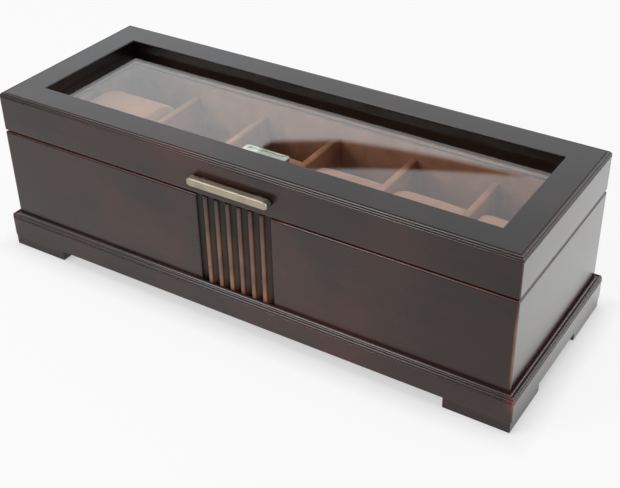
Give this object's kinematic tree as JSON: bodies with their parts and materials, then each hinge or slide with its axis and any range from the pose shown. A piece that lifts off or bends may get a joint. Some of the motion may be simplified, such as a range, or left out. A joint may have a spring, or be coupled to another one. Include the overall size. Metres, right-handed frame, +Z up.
{
  "type": "watch box",
  "caption": "Long dark wooden watch box with a hinged glazed lid, a row of cushioned compartments, a fluted front with a bar handle, and a moulded plinth on block feet.",
  "frame": {"origin": "on the floor under the middle of everything that sticks out", "axes": "+X along the box to the right as seen from the handle's side, +Y to the hinges, +Z up"},
  "size_m": [0.338, 0.1272, 0.1043],
  "materials": {
    "case_wood": "satin lacquer over dark stained wood",
    "board": "plain board",
    "suede_lining": "brown suede",
    "cushion_cover": "soft stuffed suede",
    "glass_clear": "clear polished",
    "plated_metal": "satin nickel plate",
    "magnet": "sintered"
  },
  "bodies": {
    "box": {"foot_front_left": "case_wood", "foot_front_right": "case_wood", "foot_back_left": "case_wood", "foot_back_right": "case_wood", "plinth_front": "case_wood", "plinth_right": "case_wood", "plinth_back": "case_wood", "plinth_left": "case_wood", "wall_front": "case_wood", "wall_right": "case_wood", "wall_back": "case_wood", "wall_left": "case_wood", "floor_panel": "board", "lining_floor": "suede_lining", "lining_front": "suede_lining", "lining_right": "suede_lining", "lining_back": "suede_lining", "lining_left": "suede_lining", "divider_1": "suede_lining", "divider_2": "suede_lining", "divider_3": "suede_lining", "divider_4": "suede_lining", "divider_5": "suede_lining", "hinge_left_case_leaf": "plated_metal", "hinge_right_case_leaf": "plated_metal", "hinge_left_pin": "plated_metal", "hinge_right_pin": "plated_metal", "hinge_case_screws": "plated_metal", "strike_plate": "plated_metal", "strike_screws": "plated_metal"},
    "lid": {"lid_front": "case_wood", "lid_right": "case_wood", "lid_back": "case_wood", "lid_left": "case_wood", "glass_pane": "glass_clear", "bead_front": "suede_lining", "bead_right": "suede_lining", "bead_back": "suede_lining", "bead_left": "suede_lining", "lid_lining_front": "suede_lining", "lid_lining_right": "suede_lining", "lid_lining_back": "suede_lining", "lid_lining_left": "suede_lining", "handle": "plated_metal", "handle_screws": "plated_metal", "catch_case": "plated_metal", "catch_pole_front": "plated_metal", "catch_pole_back": "plated_metal", "catch_screws": "plated_metal", "hinge_left_lid_leaf": "plated_metal", "hinge_right_lid_leaf": "plated_metal", "hinge_lid_screws": "plated_metal", "catch_magnet": "magnet"},
    "cushion_1": {"cushion_1": "cushion_cover"},
    "cushion_2": {"cushion_2": "cushion_cover"},
    "cushion_3": {"cushion_3": "cushion_cover"},
    "cushion_4": {"cushion_4": "cushion_cover"},
    "cushion_5": {"cushion_5": "cushion_cover"},
    "cushion_6": {"cushion_6": "cushion_cover"}
  },
  "joints": [
    {"name": "lid_hinge", "type": "hinge", "parent": "box", "child": "lid", "pos_m": [0, 0.06145, 0.0797], "axis": [-1, 0, 0], "range_deg": [0, 95]},
    {"name": "cushion_1_lift", "type": "slide", "parent": "box", "child": "cushion_1", "axis": [0, 0, 1], "range_m": [-0.0187, 0.01]},
    {"name": "cushion_2_lift", "type": "slide", "parent": "box", "child": "cushion_2", "axis": [0, 0, 1], "range_m": [0, 0.035]},
    {"name": "cushion_3_lift", "type": "slide", "parent": "box", "child": "cushion_3", "axis": [0, 0, 1], "range_m": [-0.0067, 0.017]},
    {"name": "cushion_4_lift", "type": "slide", "parent": "box", "child": "cushion_4", "axis": [0, 0, 1], "range_m": [-0.0087, 0.015]},
    {"name": "cushion_5_lift", "type": "slide", "parent": "box", "child": "cushion_5", "axis": [0, 0, 1], "range_m": [-0.0087, 0.026]},
    {"name": "cushion_6_lift", "type": "slide", "parent": "box", "child": "cushion_6", "axis": [0, 0, 1], "range_m": [-0.0097, 0.018]}
  ]
}
